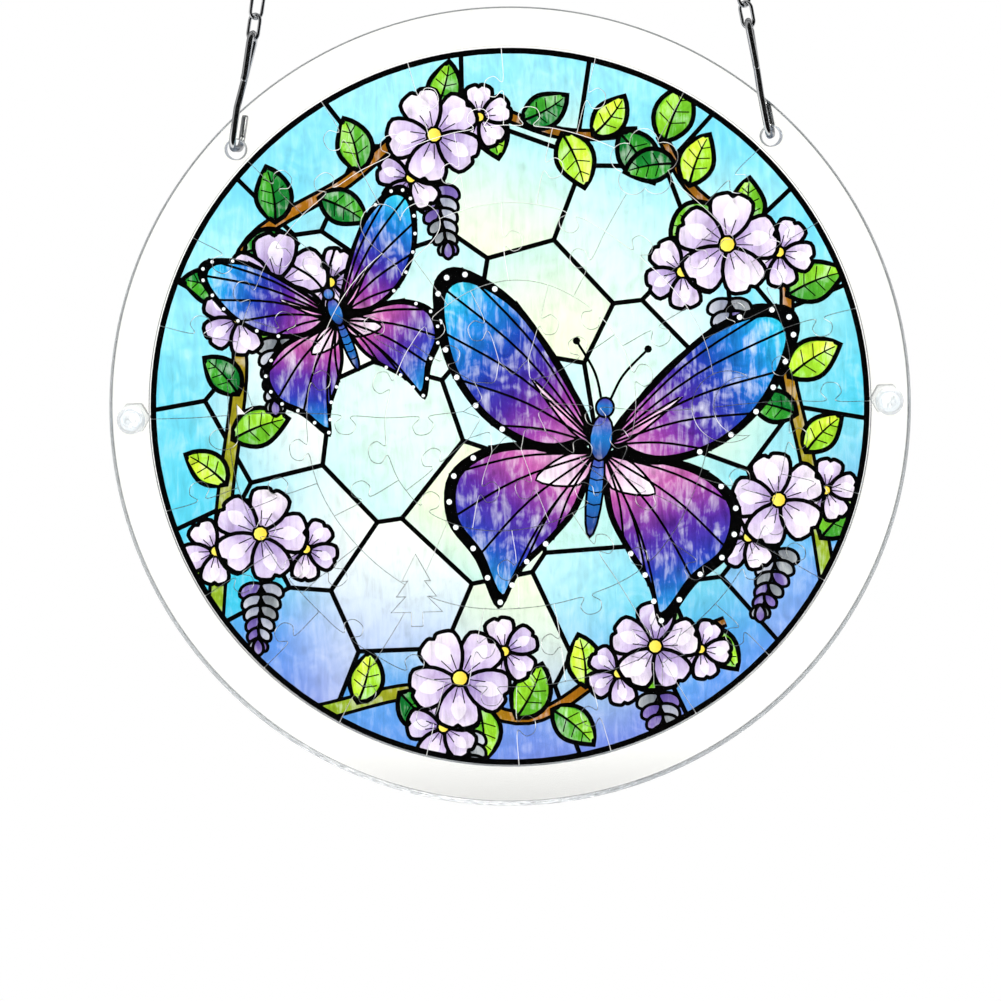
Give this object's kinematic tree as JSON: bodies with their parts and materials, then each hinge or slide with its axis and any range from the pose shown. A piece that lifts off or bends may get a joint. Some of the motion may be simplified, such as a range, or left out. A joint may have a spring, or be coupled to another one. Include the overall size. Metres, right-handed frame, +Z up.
{
  "type": "acrylic puzzle suncatcher",
  "caption": "Round hanging suncatcher: a printed acrylic jigsaw puzzle held between clear round plates, hung by S-hooks and short chains",
  "frame": {"origin": "midway between the centres of the two end rings that the suncatcher hangs by", "axes": "+Z up; -Y out of the front, where the screw heads are; +X to the right as seen from the front"},
  "size_m": [0.2, 0.0167, 0.2202],
  "materials": {
    "clear_acrylic": "clear polished cast acrylic sheet",
    "printed_acrylic": "acrylic sheet printed with a stained-glass style picture",
    "clear_nylon": "clear moulded plastic",
    "bright_steel": "bright plated wire"
  },
  "bodies": {
    "root": {"back_plate": "clear_acrylic", "chain_left": "bright_steel", "chain_right": "bright_steel", "end_ring_left": "bright_steel", "end_ring_right": "bright_steel", "front_plate": "clear_acrylic", "hook_left": "bright_steel", "hook_right": "bright_steel", "nut_left": "clear_nylon", "nut_right": "clear_nylon", "puzzle_crescent": "printed_acrylic", "puzzle_edge_pieces_01_02": "printed_acrylic", "puzzle_edge_pieces_03_04": "printed_acrylic", "puzzle_edge_pieces_05_06": "printed_acrylic", "puzzle_edge_pieces_07_08": "printed_acrylic", "puzzle_edge_pieces_09_10": "printed_acrylic", "puzzle_edge_pieces_11_12": "printed_acrylic", "puzzle_edge_pieces_13_14": "printed_acrylic", "puzzle_edge_pieces_15_16": "printed_acrylic", "puzzle_edge_pieces_17_18": "printed_acrylic", "puzzle_edge_pieces_19_20": "printed_acrylic", "puzzle_edge_pieces_21_22": "printed_acrylic", "puzzle_edge_pieces_23_24": "printed_acrylic", "puzzle_fir_tree": "printed_acrylic", "puzzle_flower": "printed_acrylic", "puzzle_heart": "printed_acrylic", "puzzle_maple_leaf": "printed_acrylic", "puzzle_note": "printed_acrylic", "puzzle_ring_1_pieces_01_02": "printed_acrylic", "puzzle_ring_1_pieces_03_04": "printed_acrylic", "puzzle_ring_1_pieces_05_06": "printed_acrylic", "puzzle_ring_1_pieces_07_08": "printed_acrylic", "puzzle_ring_1_pieces_09_10": "printed_acrylic", "puzzle_ring_2_piece_01": "printed_acrylic", "puzzle_ring_2_piece_02": "printed_acrylic", "puzzle_ring_2_piece_03": "printed_acrylic", "puzzle_ring_2_piece_04": "printed_acrylic", "puzzle_ring_2_piece_05": "printed_acrylic", "puzzle_ring_2_piece_06": "printed_acrylic", "puzzle_ring_2_piece_07": "printed_acrylic", "puzzle_ring_2_piece_08": "printed_acrylic", "puzzle_ring_2_piece_09": "printed_acrylic", "puzzle_ring_2_piece_10": "printed_acrylic", "puzzle_ring_2_piece_11": "printed_acrylic", "puzzle_ring_2_piece_12": "printed_acrylic", "puzzle_ring_3_pieces_01_02": "printed_acrylic", "puzzle_ring_3_pieces_03_04": "printed_acrylic", "puzzle_ring_3_pieces_05_06": "printed_acrylic", "puzzle_ring_3_pieces_07_08": "printed_acrylic", "puzzle_ring_3_pieces_09_10": "printed_acrylic", "puzzle_ring_3_pieces_11_12": "printed_acrylic", "puzzle_ring_3_pieces_13_14": "printed_acrylic", "puzzle_ring_3_pieces_15_16": "printed_acrylic", "puzzle_ring_3_pieces_17_18": "printed_acrylic", "puzzle_star": "printed_acrylic", "screw_left": "clear_nylon", "screw_right": "clear_nylon", "spacer_ring": "clear_acrylic"}
  },
  "joints": []
}
